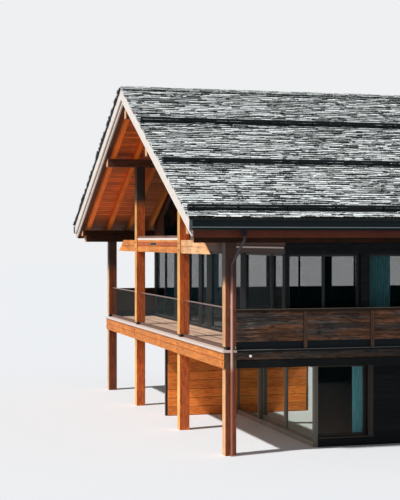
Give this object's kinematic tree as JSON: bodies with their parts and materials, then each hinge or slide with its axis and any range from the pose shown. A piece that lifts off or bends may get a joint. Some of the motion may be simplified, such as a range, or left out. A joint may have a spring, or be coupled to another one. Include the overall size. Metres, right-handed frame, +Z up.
{
  "type": "alpine chalet",
  "caption": "Two-storey timber gable house with a deep front balcony on square posts, exposed purlins and rafters, a slate roof and a sliding terrace door.",
  "frame": {"origin": "on the ground under the middle of the roof", "axes": "+X along the ridge from the open gable to the rear wall, +Y across the house, +Z up"},
  "size_m": [15.8, 16.7, 10.1861],
  "materials": {
    "warm_timber": "oiled larch, warm orange brown",
    "shaded_timber": "oiled larch, reddish brown",
    "dark_boards": "dark stained boards",
    "deck_boards": "weathered deck boards",
    "floor_slab": "concrete, smooth",
    "slate": "weathered slate, mid grey",
    "roof_deck": "dark boarded deck",
    "pale_boards": "painted, near white",
    "rust_sheet": "rust brown, matt",
    "dark_metal": "near black, satin",
    "pale_sheet": "pale grey, satin",
    "rail_metal": "brushed",
    "door_frame": "grey brown, satin",
    "glass": "clear, faint green tint"
  },
  "bodies": {
    "house": {"ground_floor": "floor_slab", "upper_floor": "floor_slab", "corner_posts": "shaded_timber", "inner_posts": "warm_timber", "rear_posts": "shaded_timber", "post_shoes": "dark_metal", "tie_beam": "warm_timber", "tie_boards": "shaded_timber", "tie_strips": "pale_sheet", "ridge_purlin": "warm_timber", "mid_purlins": "warm_timber", "eaves_purlins": "shaded_timber", "rafters_near": "warm_timber", "rafters_far": "warm_timber", "eaves_blocking": "shaded_timber", "soffit_near": "shaded_timber", "soffit_far": "shaded_timber", "roof_deck_near": "roof_deck", "roof_deck_far": "roof_deck", "slates_near": "slate", "slates_far": "slate", "ridge_cap": "slate", "bargeboards_front": "pale_boards", "bargeboards_rear": "pale_boards", "fascia_boards": "rust_sheet", "gutters": "dark_metal", "downpipes": "pale_sheet", "snow_guards": "dark_metal", "balcony_edge_beam": "warm_timber", "side_beams": "dark_boards", "edge_caps": "pale_sheet", "side_caps": "dark_metal", "balcony_deck": "deck_boards", "balcony_joists": "shaded_timber", "balustrade_glass": "glass", "balustrade_rail": "rail_metal", "parapets": "dark_boards", "upper_front_frame": "dark_boards", "front_gable_frame": "shaded_timber", "upper_side_walls": "dark_boards", "upper_rear_wall": "dark_boards", "lower_front_studs": "dark_boards", "lower_front_head": "dark_boards", "lower_side_walls": "dark_boards", "lower_rear_wall": "dark_boards", "terrace_divider": "shaded_timber", "door_track": "rail_metal", "glass_upper": "glass", "glass_lower": "glass"},
    "terrace_door": {"terrace_door": "door_frame", "terrace_door_glass": "glass"}
  },
  "joints": [
    {"name": "terrace_door_slide", "type": "slide", "parent": "house", "child": "terrace_door", "axis": [0, -1, 0], "range_m": [0, 1.99]}
  ]
}
